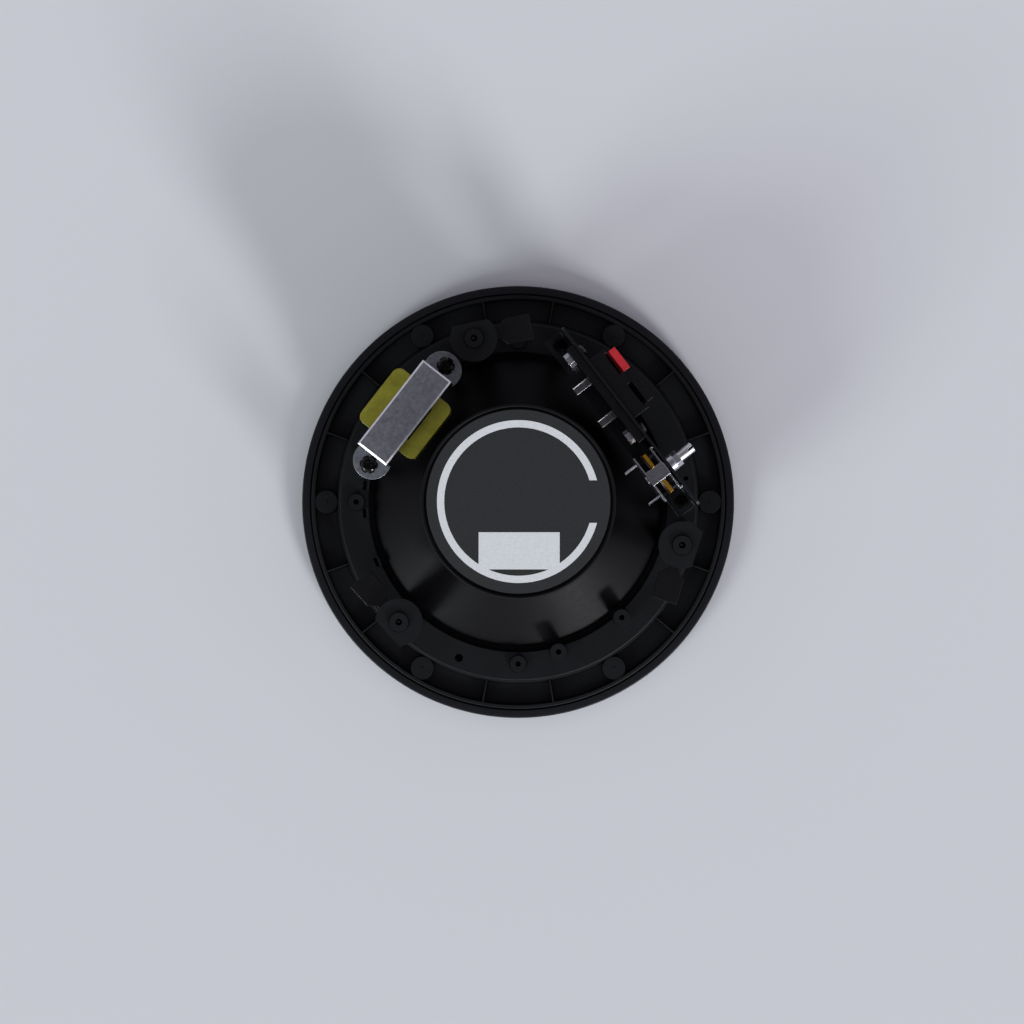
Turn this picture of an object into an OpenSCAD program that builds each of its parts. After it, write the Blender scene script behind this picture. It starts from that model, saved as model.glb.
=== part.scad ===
// Round in ceiling speaker, lying on its grille with its back up.
// The origin is the centre of the grille's front face, and +Z points to the back.

/* [Grille] */
// Outside diameter of the grille
grille_d = 236; // [232:0.5:250]
// Thickness of the grille's steel sheet
grille_t = 0.9; // [0.7:0.1:1.2]
// Depth of the grille from its front face to its folded lip
grille_h = 8; // [6.5:0.5:9]
// Width of the lip folded in towards the baffle
grille_lip_w = 4.2; // [3:0.1:4.4]
// Radius of the bend between the grille's face and its wall
grille_bend_r = 4; // [2:0.5:6]
// Diameter of one hole in the grille
hole_d = 6; // [3:0.5:7]
// Distance from one ring of holes to the next
hole_pitch = 11.4; // [10:0.2:12]
// Plain border between the outer holes and the grille's bend
hole_border = 4; // [3:0.5:12]

/* [Baffle] */
// Gap between the grille's lip and the baffle's rim
rim_gap = 0.9; // [0.6:0.1:1.4]
// Thickness of the rim's wall
rim_wall = 2.2; // [1.6:0.1:3]
// Height of the rim's back edge, where the ceiling rests
rim_z = 8.5; // [7.5:0.5:11]
// Thickness of the flange between the rim and the drum
flange_t = 2.5; // [1.5:0.1:3]
// Gap between the grille's sheet and the baffle's front face
face_gap = 0.3; // [0.2:0.1:0.6]
// Width of the channel between the rim and the drum
channel_w = 11.6; // [10.8:0.1:12.2]
// Amount by which the drum tapers in on each side
drum_draft = 2.2; // [0.5:0.1:3]
// Thickness of the drum's wall
drum_wall = 2.4; // [1.8:0.1:3]
// Height of the land that carries the fittings
land_z = 16.5; // [16:0.5:17.5]
// Thickness of the land
land_t = 2.8; // [2:0.1:3.2]
// Width of the land, from the drum's edge to the opening that the driver passes
land_w = 15.5; // [14.8:0.1:16]
// Thickness of one rib in the channel
rib_t = 0.9; // [0.6:0.1:1.6]
// Depth of a rib below the rim's back edge
rib_drop = 0.2; // [0:0.1:1]
// Edge bevel on the rim and the land
edge_bevel = 0.4; // [0.2:0.1:0.7]

/* [Grille magnets] */
// Amount by which the round seat of a magnet is wider than the channel
pad_lap = 0.8; // [0.7:0.1:1]
// Part of that amount that lies in the drum's wall
pad_sink = 0.6; // [0.5:0.1:0.7]
// Diameter of a grille magnet
pad_magnet_d = 10; // [6:0.5:10]
// Thickness of a grille magnet
pad_magnet_t = 3; // [1.5:0.5:4]

/* [Posts] */
// Diameter of a screw post
post_d = 8.8; // [7.5:0.2:9]
// Diameter of the pilot hole in a post
pilot_d = 3; // [2.4:0.1:3.4]
// Height of the posts that carry the transformer and the bracket
high_post_z = 29; // [27.5:0.5:30.5]
// Height of the short posts over the driver's screws
low_post_z = 18.7; // [17.8:0.1:18.7]
// Diameter of the safety wire hole in the land
safety_hole_d = 4.4; // [3:0.2:6]

/* [Driver] */
// Gap between the basket and the edge of the opening
basket_gap = 3; // [2.4:0.1:3.6]
// Overlap of the basket's flange under the land
flange_lap = 3.1; // [2.2:0.1:4]
// Thickness of the basket's sheet
basket_t = 1.2; // [0.8:0.1:1.5]
// Height of the basket's seat for the magnet
basket_top_z = 50; // [49:0.5:51]
// Height of the basket's step inside the magnet cover
step_h = 9; // [8:0.5:10]
// Height of the basket's neck between its slope and that step
neck_h = 4.4; // [4:0.1:6]
// Distance of the driver's screws from the drum's edge
driver_screw_inset = 9; // [8.6:0.1:9.4]
// Thickness of the foam gasket under the driver's flange
gasket_t = 0.8; // [0.5:0.1:1]
// Radius of the roll of the surround
roll_r = 5.7; // [4.5:0.1:6]
// Diameter of the voice coil's former
coil_d = 30.6; // [29:0.2:31.4]
// Diameter of the ring magnet
magnet_d = 90; // [80:1:94]
// Thickness of the ring magnet
magnet_t = 20; // [16:0.5:20.5]
// Thickness of the top plate
top_plate_t = 6; // [4:0.5:6.5]
// Thickness of the yoke's plate
yoke_t = 6; // [4:0.5:6.5]

/* [Tweeter] */
// Diameter of the tweeter's housing
tweeter_d = 38; // [28:1:44]
// Depth of the tweeter's housing
tweeter_h = 12; // [10:0.5:14]
// Diameter of the tweeter's post
tweeter_post_d = 8; // [6:0.5:10]

/* [Magnet cover] */
// Gap between the ring magnet and the cover's wall
magnet_gap = 3.9; // [3:0.1:4.5]
// Room between the yoke and the cover's inner face
cover_room = 3.5; // [3.2:0.1:6]
// Thickness of the cover's wall
cover_wall = 2.1; // [1.5:0.1:2.5]
// Radius of the cover's rounded edge
cover_edge_r = 1.6; // [0.8:0.1:1.6]
// Distance from the cover's outside to the label
label_inset = 3; // [3:0.5:6]
// Thickness of the label
label_t = 0.3; // [0.2:0.1:0.4]
// Distance from the label's edge to the ring printed on it
print_inset = 5.5; // [3:0.5:12]
// Width of the printed ring
print_w = 3.8; // [2:0.2:6]
// Height of the opening in the printed ring
print_gap = 22.2; // [10:0.2:30]
// Width of the plain printed panel
print_panel_w = 42.3; // [30:0.1:46]
// Height of the plain printed panel
print_panel_h = 19.4; // [12:0.2:22]

/* [Clamps] */
// Distance of a clamp's screw from the drum's edge
clamp_inset = 7.1; // [6.9:0.1:7.5]
// Diameter of a clamp's screw
clamp_screw_d = 3.5; // [3:0.1:4]
// Height of the cap on a clamp's tower
tower_z = 61.5; // [58:0.5:66]
// Thickness of the tower's cap
tower_cap_t = 3; // [2:0.5:4]
// Outside diameter of the tower's curved wall
tower_d = 20.6; // [20:0.1:20.8]
// Thickness of the tower's curved wall
tower_wall = 1.6; // [1.2:0.1:1.8]
// Overhang of the tower's cap round that wall
cap_lap = 2.2; // [1.8:0.1:2.4]
// Depth of the flat cut on the cap
cap_cut = 4.1; // [3.8:0.1:4.4]
// Side of the square foot of a clamp's arm
foot_w = 13.6; // [12:0.1:14]
// Distance from the tower's cap to the foot
foot_gap = 5; // [4:0.1:6]
// Height of the foot
foot_h = 8; // [6:0.5:9]
// Width of the arm's neck
neck_w = 6; // [5:0.5:8]

/* [Bracket] */
// Distance from the bracket's screws to its ends
bracket_end = 6.1; // [5:0.1:6.5]
// Thickness of the bracket's steel sheet
bracket_t = 1.5; // [1.2:0.1:1.8]
// Distance from the bracket's screws to the panel's outer face
bracket_hole_n = 6.35; // [6:0.05:6.7]
// Width of the bracket's foot
bracket_foot_w = 12.3; // [12:0.1:13]
// Radius of the bend between the foot and the panel
bracket_bend_r = 2.4; // [2:0.1:3]

/* [Terminal] */
// Distance that the block stands proud of the panel
terminal_proud = 10.2; // [9.8:0.1:10.6]
// Height of the terminal
terminal_h = 23; // [22:0.5:24]
// Height of the panel that shows below and above the terminal
terminal_margin = 2.5; // [2:0.1:4]
// Thickness of the terminal's flange
terminal_flange_t = 4.6; // [3:0.1:5]
// Width of one lever
lever_w = 13.5; // [12.5:0.1:13.8]
// Thickness of one lever
lever_t = 4.1; // [3.4:0.1:4.3]
// Angle through which a lever is pressed
press_a = 12; // [8:1:13]
// Thickness of the block's wall between the levers
lever_rib = 6; // [5:0.1:6.4]
// Thickness of the block's wall beside the levers
lever_side = 2.3; // [2:0.1:2.8]
// Diameter of the holes for the wires
wire_hole_d = 3.4; // [2:0.2:3.8]
// Width of one solder tab
tab_w = 4.5; // [3:0.1:5]
// Distance between the middles of the solder tabs
tab_pitch = 22.2; // [20:0.2:24]
// Distance from the block to the terminal's screws
terminal_ear = 6.25; // [5.9:0.05:6.5]
// Distance from the terminal's screws to the end of its flange
terminal_end = 5.45; // [5:0.05:6]

/* [Selector] */
// Diameter of the selector's shaft
shaft_d = 6; // [5:0.1:6.2]
// Distance that the shaft stands proud of the panel
shaft_proud = 16; // [12:0.5:17]
// Width of the selector's plates
selector_w = 27; // [26:0.2:28]
// Height of the selector's plates
selector_h = 26; // [24:0.5:26]
// Thickness of the selector's plates
selector_t = 1; // [0.8:0.1:1.4]
// Distance from the selector's rods to the edge of its plates
rod_inset = 3.2; // [2.9:0.1:4]
// Width of the strap between the selector's plates
strap_w = 7.8; // [6:0.2:9]

/* [Transformer] */
// Width of the lamination stack's middle leg
leg_w = 18; // [17:0.2:18.2]
// Thickness of the lamination stack
stack_t = 17.4; // [14:0.2:18]
// Thickness of the transformer's strap
trans_strap_t = 0.8; // [0.6:0.1:1.2]
// Overall width of the coil
coil_w = 37.4; // [30:0.2:38]
// Corner radius of the coil
coil_corner_r = 4.4; // [2:0.1:6]
// Distance from the lamination stack to the transformer's screws
ear_out = 6.7; // [6.3:0.1:7]
// Radius of a rounded ear
ear_r = 10.4; // [9.8:0.1:10.6]
// Distance from an ear's screw in to the middle of its round edge
ear_shift = 3; // [2.4:0.1:3.4]

/* [Hidden] */

$fn = 96;
eps = 0.01;
big = 400;

// Clearances: between seated pieces, in a running fit and around a part that swings
seat_gap = 0.3;
run_gap = 0.05;
swing_gap = 0.4;

// Rings of the speaker, from the grille inwards
hole_rings = floor((grille_d / 2 - grille_bend_r - hole_border - hole_d / 2) / hole_pitch);
rim_d = grille_d - 2 * (grille_lip_w + rim_gap);
drum_d = rim_d - 2 * (rim_wall + channel_w);
drum_top_r = drum_d / 2 - drum_draft;
opening_d = 2 * (drum_top_r - land_w);
basket_d = opening_d - 2 * basket_gap;
basket_flange_d = opening_d + 2 * flange_lap;
cover_d = magnet_d + 2 * (magnet_gap + cover_wall);
label_d = cover_d - 2 * label_inset;
print_d = label_d - 2 * print_inset;

// Levels of the baffle, from the grille's face up to the land
face_z = grille_t + face_gap;
floor_z = face_z + flange_t;
under_z = land_z - land_t;
root_z = under_z + 0.4;
tower_base_z = land_z + 0.4;

// Levels of the driver: its flange hangs under the land on the gasket
flange_top_z = under_z - gasket_t;
flange_front_z = flange_top_z - basket_t;
surround_t = 0.5;
surround_z = flange_front_z - surround_t;

// Seats of the magnet parts, one on the other
plate_top_z = basket_top_z + top_plate_t;
magnet_top_z = plate_top_z + magnet_t;
yoke_top_z = magnet_top_z + yoke_t;
ledge_z = basket_top_z - step_h;
basket_rise = ledge_z - neck_h - flange_top_z - 0.7;
basket_slope = atan(basket_rise / ((basket_d - cover_d) / 2));
neck_r = cover_d / 2 - cover_wall - 0.2;
coil_r = coil_d / 2;
former_t = 0.3;
winding_t = 0.7;
cone_t = 0.7;
cone_z = surround_z + surround_t;
cone_back_z = 36.5;
cone_out = basket_d / 2 - 0.7 - 2 * roll_r;
cone_in = coil_r + run_gap;
gap_in = coil_r - former_t - 0.6;
gap_out = coil_r + winding_t + 0.6;
spider_z = ledge_z - basket_t - 0.6;
tweeter_z = 6.5;

// Cover: a plateau for the label inside a groove and a rounded rim
groove_w = 1.3;
plateau_r = label_d / 2 + 0.1;
cover_in_z = yoke_top_z + cover_room;
plateau_z = cover_in_z + cover_wall + 0.4;
cover_z = plateau_z + 0.5;
groove_z = plateau_z - 1.2;

// Places of the fittings around the axis
pad_count = 6;
pad_d = channel_w + pad_lap;
pad_r = drum_d / 2 + pad_d / 2 - pad_sink;
pad_drop = 0.3;
rib_angles = [for (i = [0 : 17]) if (i % 3 != 0) i * 20];
driver_screw_angles = [0, 90, 180, 270];
driver_screw_r = drum_top_r - driver_screw_inset;
driver_screw_l = low_post_z - flange_front_z - 0.6;
spare_post_angles = [285.1, 311.9];
spare_post_r = opening_d / 2 + 2.4;
safety_hole_a = 249.2;
safety_hole_r = drum_top_r - 6.3;
tie_hole_a = 8;
tie_hole_r = drum_top_r - 4.8;
tie_hole_d = 2.6;
tab_angles = [173.8, 184.2, 203.1];
edge_tab = [1.2, 6, 1.6];
clamp_a = 105.2;
clamp_r = drum_top_r - clamp_inset;
clamp_lean = 3;
bracket_a = 37.8;
transformer_a = 142;

// Clamp: the cap and the arm in plan, then the levels of the arm and of its threaded insert
tower_cap_d = tower_d + 2 * cap_lap;
tower_flat = tower_cap_d / 2 - cap_cut;
foot_reach = tower_cap_d / 2 + foot_gap + foot_w / 2;
cap_under_z = tower_z - tower_cap_t;
arm_top_z = cap_under_z - seat_gap;
hub_h = 8.2;
arm_z = arm_top_z - hub_h;
hub_r = tower_d / 2 - tower_wall - swing_gap;
insert_r = 4;
insert_flange_r = 5.4;
insert_flange_t = 1;
clamp_screw_r = clamp_screw_d / 2;
screw_boss_h = 1.5;
wall_arc = [32, 238];

// Bracket frame: x is the distance out from the axis, y runs along the panel.
// One of its two posts stands over a driver's screw.
bracket_y = -0.6;
post_n = driver_screw_r * cos(bracket_a);
post_b_y = -driver_screw_r * sin(bracket_a);
post_a_y = 2 * bracket_y - post_b_y;
bracket_l = post_a_y - post_b_y + 2 * bracket_end;
panel_n = post_n + bracket_hole_n;
panel_in = panel_n - bracket_t;
foot_in = panel_n - bracket_foot_w;
fit_half = max(terminal_h / 2 + terminal_margin, selector_h / 2 + selector_t);
fit_z = high_post_z + bracket_t + fit_half;
panel_z = fit_z + fit_half;
terminal_y = 16.9;
lever_pitch = lever_w + lever_rib + 0.8;
terminal_l = lever_pitch + lever_w + 0.8 + 2 * lever_side;
terminal_screw_pitch = terminal_l + 2 * terminal_ear;
terminal_flange_l = terminal_screw_pitch + 2 * terminal_end;
window_gap = 0.2;
terminal_face = panel_n + terminal_proud;
lever_gap = 0.8;
recess_d = 3;
pivot_r = 0.8;
knuckle_r = 1.5;
pivot_n = terminal_face - 1.1;
pivot_z = fit_z - 0.8;
recess_z = pivot_z - 2.3;
lever_top_z = fit_z + terminal_h / 2;
pocket_h = 2;
lever_relief = (lever_top_z - pivot_z) * sin(press_a) - lever_gap + swing_gap;
tab_t = 0.8;
tab_reach = 9.6;
m4_r = 2;
m4_nut_r = 4.05;
m4_nut_t = 3.2;

// Selector: stations along its shaft, measured out from the axis
selector_y = -33.7;
front_plate_n = panel_in - 1;
back_plate_n = panel_in - 11.5;
wafer_n = panel_in - 7.1;
rod_pitch = selector_w - 2 * rod_inset;
wafer_t = 1.2;
wafer_r = 11;
contact_l = 8;
bushing_r = shaft_d / 2 + 0.5;
collar_r = bushing_r + 1.5;
collar_l = 3.6;
nut_l = 3.3;
rod_r = 0.75;
rod_tail = 7.5;
shaft_r = shaft_d / 2;
rotor_r = shaft_r + 3.5;

// Transformer: the lamination sizes follow from the middle leg
core_l = 3 * leg_w;
core_h = 2.5 * leg_w;
ear_pitch = core_l + 2 * ear_out;
coil_gap = 6.2;
transformer_r = max(opening_d / 2 - 5.5, cover_d / 2 + coil_gap + coil_w / 2);
core_z = high_post_z + trans_strap_t + 0.1;
window_w = leg_w / 2;
window_h = 1.5 * leg_w;
window_z = core_z + leg_w / 2;
core_top_z = core_z + core_h;
strap_top_z = core_top_z + trans_strap_t;

// Moulded screw with a domed head, its seat at z = 0 and its shank going down
module pan_screw(r, l, head_r, head_h, drive_r) {
    difference() {
        union() {
            translate([0, 0, -l]) cylinder(r = r, h = l + eps, $fn = 32);
            rotate_extrude($fn = 48)
                polygon(concat([[0, 0], [head_r, 0]],
                    [for (a = [0 : 15 : 90]) [head_r * (1 - 0.45 * (1 - cos(a))),
                        head_h * (0.25 + 0.75 * sin(a))]], [[0, head_h]]));
        }
        cross_recess(drive_r, head_h);
    }
}

module cross_recess(r, head_h) {
    for (a = [0, 90]) rotate([0, 0, a])
        translate([-r, -r / 5, head_h * 0.45]) cube([2 * r, 2 * r / 5, head_h]);
}

module ring(r_out, r_in, h) {
    difference() {
        cylinder(r = r_out, h = h);
        translate([0, 0, -eps]) cylinder(r = r_in, h = h + 2 * eps);
    }
}

// Flat arc of a ring, from one angle to another
module sector(r, from, to) {
    steps = 12;
    polygon(concat([[0, 0]], [for (i = [0 : steps])
        let (a = from + (to - from) * i / steps) [r * cos(a), r * sin(a)]]));
}

module at_clamp(i) {
    rotate([0, 0, clamp_a + 120 * i]) translate([clamp_r, 0, 0])
        rotate([0, 0, -clamp_lean]) children();
}

module at_bracket() {
    rotate([0, 0, bracket_a]) children();
}

// Turns a shape so that its axis points out from the panel
module outward(n, y, z) {
    translate([n, y, z]) rotate([0, 90, 0]) children();
}

module at_transformer() {
    rotate([0, 0, transformer_a]) translate([transformer_r, 0, 0]) children();
}

module at_ears() {
    for (s = [-1, 1]) translate([0, s * ear_pitch / 2, 0]) children();
}

module at_angles(list, r) {
    for (a = list) rotate([0, 0, a]) translate([r, 0, 0]) children();
}

module grille() {
    r = grille_d / 2;
    b = grille_bend_r;
    c = b - grille_t;
    color("#1b1b1c") difference() {
        rotate_extrude($fn = 180)
            polygon(concat(
                [[0, 0]],
                [for (a = [-90 : 15 : 0]) [r - b + b * cos(a), b + b * sin(a)]],
                [[r, grille_h], [r - grille_lip_w, grille_h],
                    [r - grille_lip_w, grille_h - grille_t], [r - grille_t, grille_h - grille_t]],
                [for (a = [0 : -15 : -90]) [r - b + c * cos(a), b + c * sin(a)]],
                [[0, grille_t]]));
        grille_holes();
    }
}

module grille_holes() {
    for (k = [1 : hole_rings], i = [0 : 6 * k - 1])
        rotate([0, 0, (i + 0.5) * 60 / k]) translate([k * hole_pitch, 0, -1])
            cylinder(d = hole_d, h = grille_t + 2, $fn = 16);
}

module grille_magnets() {
    color("#9a9a9c") at_angles([for (i = [0 : pad_count - 1]) i * 360 / pad_count], pad_r)
        translate([0, 0, face_z]) cylinder(d = pad_magnet_d, h = pad_magnet_t);
}

// Section of the baffle, turned about the axis
module baffle_section() {
    rim = rim_d / 2;
    v = edge_bevel;
    in = drum_top_r - drum_wall;
    polygon([
        [rim, face_z + v], [rim, rim_z - v], [rim - v, rim_z],
        [rim - rim_wall + v, rim_z], [rim - rim_wall, rim_z - v], [rim - rim_wall, floor_z],
        [drum_d / 2, floor_z], [drum_top_r, land_z - v], [drum_top_r - v, land_z],
        [opening_d / 2 + v, land_z], [opening_d / 2, land_z - v], [opening_d / 2, under_z],
        [in, under_z], [in + drum_draft, face_z], [rim - v, face_z]]);
}

module baffle() {
    color("#1e1e1f") difference() {
        union() {
            rotate_extrude($fn = 180) baffle_section();
            baffle_ribs();
            baffle_pads();
            baffle_posts();
            baffle_edge_tabs();
            for (i = [0 : 2]) at_clamp(i) clamp_tower();
        }
        baffle_holes();
    }
}

module baffle_ribs() {
    depth = rim_z - rib_drop - floor_z;
    at_angles(rib_angles, drum_d / 2 - 1)
        translate([0, -rib_t / 2, floor_z - eps])
            cube([rim_d / 2 - rim_wall - drum_d / 2 + 1.5, rib_t, depth]);
}

module baffle_pads() {
    at_angles([for (i = [0 : pad_count - 1]) i * 360 / pad_count], pad_r)
        translate([0, 0, floor_z - eps]) {
            cylinder(d = pad_d, h = rim_z - pad_drop - floor_z);
            cylinder(r = 0.6, h = rim_z - floor_z, $fn = 16);
        }
}

// A post stands on the land, so it starts inside the land's thickness
module post(top_z) {
    translate([0, 0, root_z]) cylinder(d = post_d, h = top_z - root_z, $fn = 48);
}

module baffle_posts() {
    at_angles([for (a = driver_screw_angles) if (a != 0) a], driver_screw_r) post(low_post_z);
    at_angles(spare_post_angles, spare_post_r) post(high_post_z);
    at_bracket_posts() post(high_post_z);
    at_transformer() at_ears() post(high_post_z);
}

module at_bracket_posts() {
    at_bracket() for (y = [post_a_y, post_b_y]) translate([post_n, y, 0]) children();
}

// Short upright tabs beside the opening, for tying the wires
module baffle_edge_tabs() {
    at_angles(tab_angles, opening_d / 2)
        translate([0, -edge_tab[1] / 2, under_z])
            cube([edge_tab[0], edge_tab[1], land_t + edge_tab[2]]);
}

module clamp_tower() {
    intersection() {
        union() {
            translate([0, 0, root_z]) cylinder(d = tower_d, h = tower_base_z - root_z);
            tower_wall_arc();
            translate([0, 0, cap_under_z]) cylinder(d = tower_cap_d, h = tower_cap_t);
            translate([0, 0, cap_under_z]) tower_corner(tower_cap_t);
            translate([0, 0, tower_z - eps])
                cylinder(r = 5, h = screw_boss_h, $fn = 48);
        }
        translate([tower_flat - big, -big / 2, 0]) cube(big);
    }
}

module tower_wall_arc() {
    base = tower_base_z - 0.5;
    translate([0, 0, base]) difference() {
        ring(tower_d / 2, tower_d / 2 - tower_wall, cap_under_z - base + 0.5);
        rotate([0, 0, wall_arc[1]]) translate([0, 0, -1]) linear_extrude(big)
            sector(tower_d, 0, 360 + wall_arc[0] - wall_arc[1]);
    }
}

// Square corner at the end of the flat, and the stop tab beside it
module tower_corner(h) {
    translate([tower_flat - 4, 4, 0]) cube([4, 6.3, h]);
    translate([-1.5, tower_cap_d / 2 - 2, 0]) cube([3.6, 2.4, h]);
}

module baffle_holes() {
    low = -1;
    at_angles(driver_screw_angles, driver_screw_r) translate([0, 0, low])
        cylinder(d = pilot_d, h = high_post_z + 2, $fn = 32);
    at_angles(spare_post_angles, spare_post_r) translate([0, 0, low])
        cylinder(d = pilot_d, h = high_post_z + 2, $fn = 32);
    at_bracket() translate([post_n, post_a_y, low])
        cylinder(d = pilot_d, h = high_post_z + 2, $fn = 32);
    at_transformer() at_ears() translate([0, 0, low])
        cylinder(d = pilot_d, h = high_post_z + 2, $fn = 32);
    at_angles([safety_hole_a], safety_hole_r) translate([0, 0, under_z - 1])
        cylinder(d = safety_hole_d, h = land_t + 2, $fn = 32);
    at_angles([tie_hole_a], tie_hole_r) translate([0, 0, under_z - 1])
        cylinder(d = tie_hole_d, h = land_t + 2, $fn = 32);
    at_angles([for (i = [0 : pad_count - 1]) i * 360 / pad_count], pad_r) {
        translate([0, 0, face_z - 1])
            cylinder(d = pad_magnet_d + 2 * run_gap, h = pad_magnet_t + 1 + run_gap);
    }
    at_angles(tab_angles, opening_d / 2 + edge_tab[0])
        translate([0, -edge_tab[1] / 2 + 0.5, under_z - 1]) cube([2, edge_tab[1] - 1, land_t + 2]);
    for (i = [0 : 2]) at_clamp(i) translate([0, 0, low])
        cylinder(r = clamp_screw_r + run_gap, h = tower_z + screw_boss_h + 2, $fn = 48);
}

// Outline of the driver's flange: a disc with an ear for each screw
module flange_outline() {
    circle(d = basket_flange_d, $fn = 180);
    at_angles(driver_screw_angles, driver_screw_r) {
        circle(r = 5.5, $fn = 48);
        translate([-10, -5.5]) square([10, 11]);
    }
}

module driver_gasket() {
    color("#2b2b2d") translate([0, 0, flange_top_z]) linear_extrude(gasket_t) difference() {
        flange_outline();
        circle(d = opening_d + 0.4, $fn = 180);
        at_angles(driver_screw_angles, driver_screw_r) circle(r = 2.1, $fn = 32);
    }
}

// Outer or inner line of the basket, from the flange up to the ledge
function basket_line(shift, fillet) =
    let (
        top_r = cover_d / 2 - shift,
        low_r = basket_d / 2 - shift,
        low_z = flange_top_z + 0.7 - shift * (1 / cos(basket_slope) - tan(basket_slope)),
        t_r = top_r + fillet * (1 - sin(basket_slope)),
        t_z = low_z + (low_r - t_r) * tan(basket_slope),
        c_z = t_z + fillet * cos(basket_slope))
    concat([[low_r, low_z]],
        [for (a = [270 - basket_slope : (basket_slope - 90) / 6 : 180])
            [top_r + fillet + fillet * cos(a), c_z + fillet * sin(a)]]);

module basket_section() {
    out = basket_line(0, 5);
    in = basket_line(basket_t, 5 + basket_t);
    reversed = [for (i = [len(in) - 1 : -1 : 0]) in[i]];
    polygon(concat(
        [[basket_flange_d / 2, flange_front_z], [basket_flange_d / 2, flange_top_z],
            [basket_d / 2, flange_top_z]],
        out,
        [[cover_d / 2, ledge_z], [neck_r, ledge_z], [neck_r, basket_top_z],
            [gap_out + 2, basket_top_z], [gap_out + 2, basket_top_z - basket_t],
            [neck_r - basket_t, basket_top_z - basket_t], [neck_r - basket_t, ledge_z - basket_t],
            [cover_d / 2 - basket_t, ledge_z - basket_t]],
        reversed,
        [[basket_d / 2 - basket_t, flange_front_z]]));
}

module basket() {
    color("#0c0c0d") difference() {
        union() {
            rotate_extrude($fn = 180) basket_section();
            translate([0, 0, flange_front_z]) linear_extrude(basket_t) difference() {
                flange_outline();
                circle(r = basket_d / 2 + 1, $fn = 180);
            }
        }
        at_angles(driver_screw_angles, driver_screw_r) translate([0, 0, flange_front_z - 1])
            cylinder(r = 2.1, h = basket_t + 2, $fn = 32);
    }
}

module driver_screws() {
    color("#151515") at_angles(driver_screw_angles, driver_screw_r)
        translate([0, 0, flange_front_z]) rotate([180, 0, 0])
            pan_screw(pilot_d / 2 - run_gap, driver_screw_l, 3.6, 2.2, 2);
}

// Half roll between the flange and the cone, with a flat lip on each side
module surround() {
    out = basket_d / 2 - 0.7;
    mid = out - roll_r;
    z = surround_z;
    color("#171717") rotate_extrude($fn = 128) polygon(concat(
        [[out + 4, z + surround_t], [out + 4, z]],
        [for (a = [0 : 12 : 180]) [mid + roll_r * cos(a), z - roll_r * sin(a)]],
        [[mid - roll_r - 4, z], [mid - roll_r - 4, z + surround_t]],
        [for (a = [180 : -12 : 0]) [mid + (roll_r - surround_t) * cos(a),
            z + surround_t - roll_r * sin(a)]]));
}

module front_ring() {
    r = basket_d / 2 + 0.4;
    color("#2b2b2d") translate([0, 0, surround_z - 2]) ring(basket_flange_d / 2 - 0.4, r, 2);
}

// Paper cone with a gentle curve: a flat lip on the surround, then down to the coil's former
module cone() {
    lip = cone_out - 3;
    steps = 12;
    line = [for (i = [0 : steps]) [lip + (cone_in - lip) * i / steps,
        cone_z + (cone_back_z - cone_z) * pow(i / steps, 0.88)]];
    color("#26262a") rotate_extrude($fn = 128) polygon(concat(
        [[cone_out, cone_z + cone_t], [cone_out, cone_z]], line,
        [for (i = [steps : -1 : 0]) line[i] + [0, cone_t]]));
}

module coil_former() {
    low_z = cone_back_z - 2.5;
    top_z = plate_top_z + 2.5;
    color("#c9b08a") translate([0, 0, low_z]) ring(coil_r, coil_r - former_t, top_z - low_z);
}

module coil_winding() {
    color("#b0632c") translate([0, 0, basket_top_z - 1.5])
        ring(coil_r + winding_t, coil_r, top_plate_t + 3);
}

// Corrugated cloth disc that centres the coil, glued under the basket's ledge
module spider() {
    r_in = coil_r + run_gap;
    r_out = neck_r - 4;
    steps = 40;
    wave = [for (i = [0 : steps]) [r_in + (r_out - r_in) * i / steps,
        spider_z + 1.1 * sin(360 * 5 * i / steps)]];
    color("#b98b3f") rotate_extrude($fn = 96) polygon(concat(
        wave, [[cover_d / 2 - basket_t - 0.3, spider_z], [cover_d / 2 - basket_t - 0.3, spider_z + 0.5]],
        [for (i = [steps : -1 : 0]) wave[i] + [0, 0.5]]));
}

module top_plate() {
    color("#6f7276") translate([0, 0, basket_top_z])
        ring(magnet_d / 2 - 3, gap_out, top_plate_t);
}

module ring_magnet() {
    color("#39393b") translate([0, 0, plate_top_z]) ring(magnet_d / 2, gap_out + 3.5, magnet_t);
}

module yoke() {
    color("#6f7276") difference() {
        union() {
            translate([0, 0, magnet_top_z]) cylinder(r = magnet_d / 2 - 2, h = yoke_t);
            translate([0, 0, basket_top_z]) cylinder(r = gap_in, h = magnet_top_z - basket_top_z + eps);
        }
        translate([0, 0, basket_top_z - 1])
            cylinder(d = tweeter_post_d + 2 * run_gap, h = big);
    }
}

// The post holds the tweeter in front of the cone, and is bolted through the pole
module tweeter_post() {
    foot_z = tweeter_z + tweeter_h;
    color("#8d8f92") difference() {
        union() {
            translate([0, 0, foot_z]) cylinder(d = tweeter_post_d, h = yoke_top_z + 2.8 - foot_z);
            translate([0, 0, basket_top_z - 2]) cylinder(d = tweeter_post_d + 6, h = 2);
        }
        translate([0, 0, foot_z - 1]) cylinder(d = tweeter_post_d - 3, h = big);
    }
}

module tweeter_nut() {
    color("#8d8f92") translate([0, 0, yoke_top_z]) difference() {
        cylinder(d = tweeter_post_d * 1.75, h = 2.4, $fn = 6);
        translate([0, 0, -1]) cylinder(d = tweeter_post_d + 2 * run_gap, h = 6);
    }
}

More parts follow.
